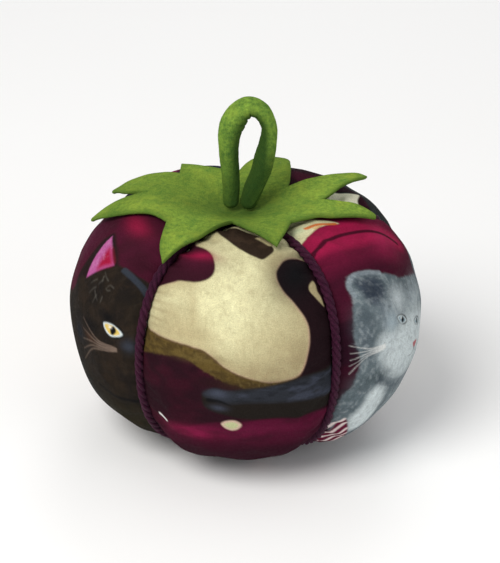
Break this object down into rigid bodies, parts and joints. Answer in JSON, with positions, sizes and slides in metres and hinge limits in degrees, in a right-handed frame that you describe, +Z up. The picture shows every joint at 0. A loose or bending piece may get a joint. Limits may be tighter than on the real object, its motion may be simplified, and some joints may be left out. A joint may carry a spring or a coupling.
{
  "type": "tomato pin cushion",
  "caption": "Stuffed tomato-shaped pin cushion of printed cotton gores with corded seams, a leafy green felt calyx and a rolled felt hanging loop.",
  "frame": {"origin": "centre of the base disc's underside, on the cushion's upright axis", "axes": "+Z up through the crown, -Y towards the front gore, +X to the right as seen from the front"},
  "size_m": [0.0937, 0.0927, 0.096],
  "materials": {
    "cotton_print": "plain-woven quilting cotton, printed with a dark plum, magenta and cream cat design",
    "twisted_cord": "three-strand twisted plum rayon cord, soft sheen",
    "green_felt": "matt leaf-green wool-blend felt with a short nap",
    "fibre_filling": "white polyester fibrefill, packed firm",
    "waxed_thread": "waxed natural upholstery thread"
  },
  "bodies": {
    "cushion": {"filling": "fibre_filling", "centre_tie": "waxed_thread", "cover_front": "cotton_print", "cover_right": "cotton_print", "cover_back_right": "cotton_print", "cover_back_left": "cotton_print", "cover_left": "cotton_print", "cord_front_left": "twisted_cord", "cord_front_right": "twisted_cord", "cord_right": "twisted_cord", "cord_back": "twisted_cord", "cord_left": "twisted_cord", "calyx": "green_felt", "base_disc": "green_felt"},
    "loop": {"stem_loop": "green_felt"}
  },
  "joints": [
    {"name": "loop_flop", "type": "hinge", "parent": "cushion", "child": "loop", "pos_m": [-0.0022, 0, 0.0666], "axis": [1, 0, 0], "range_deg": [-65, 65], "stiffness_Nm_per_rad": 0.003}
  ]
}
